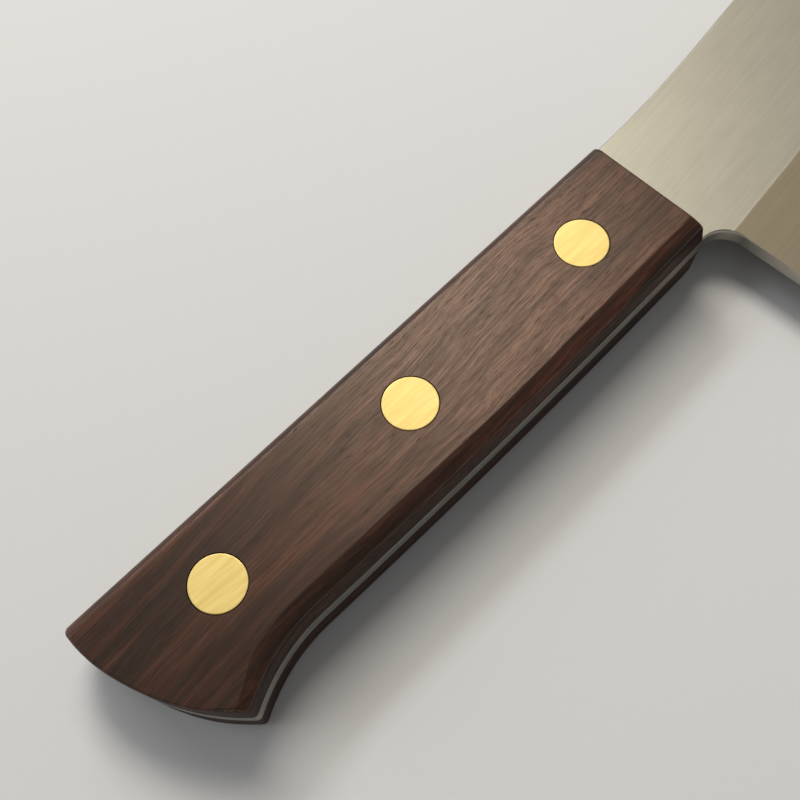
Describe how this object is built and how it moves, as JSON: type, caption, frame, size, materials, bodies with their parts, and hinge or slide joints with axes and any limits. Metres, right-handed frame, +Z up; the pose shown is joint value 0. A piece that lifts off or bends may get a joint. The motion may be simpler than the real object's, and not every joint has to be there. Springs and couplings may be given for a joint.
{
  "type": "cleaver",
  "caption": "Kitchen cleaver for slicing and chopping: a tall, flat-ground steel blade whose full tang shows between riveted dark wood handle scales.",
  "frame": {"origin": "middle of the underside of the box round the cleaver as it lies on its left side, so Z 0 is the left scale's outer face", "axes": "+X along the handle towards the blade's tip, +Y across the handle towards the spine, +Z up out of the right side of the blade"},
  "size_m": [0.3474, 0.1194, 0.0162],
  "materials": {
    "blade_steel": "satin ground stainless steel, the lines running along the blade",
    "handle_wood": "oiled dark red-brown rosewood with near-black streaks and fine open pores, satin",
    "rivet_brass": "pale brass sanded flush with the scales, with fine straight scratches"
  },
  "bodies": {
    "root": {"blade_with_tang": "blade_steel", "right_scale": "handle_wood", "left_scale": "handle_wood", "rear_rivet_post": "rivet_brass", "rear_rivet_socket": "rivet_brass", "middle_rivet_post": "rivet_brass", "middle_rivet_socket": "rivet_brass", "front_rivet_post": "rivet_brass", "front_rivet_socket": "rivet_brass"}
  },
  "joints": []
}
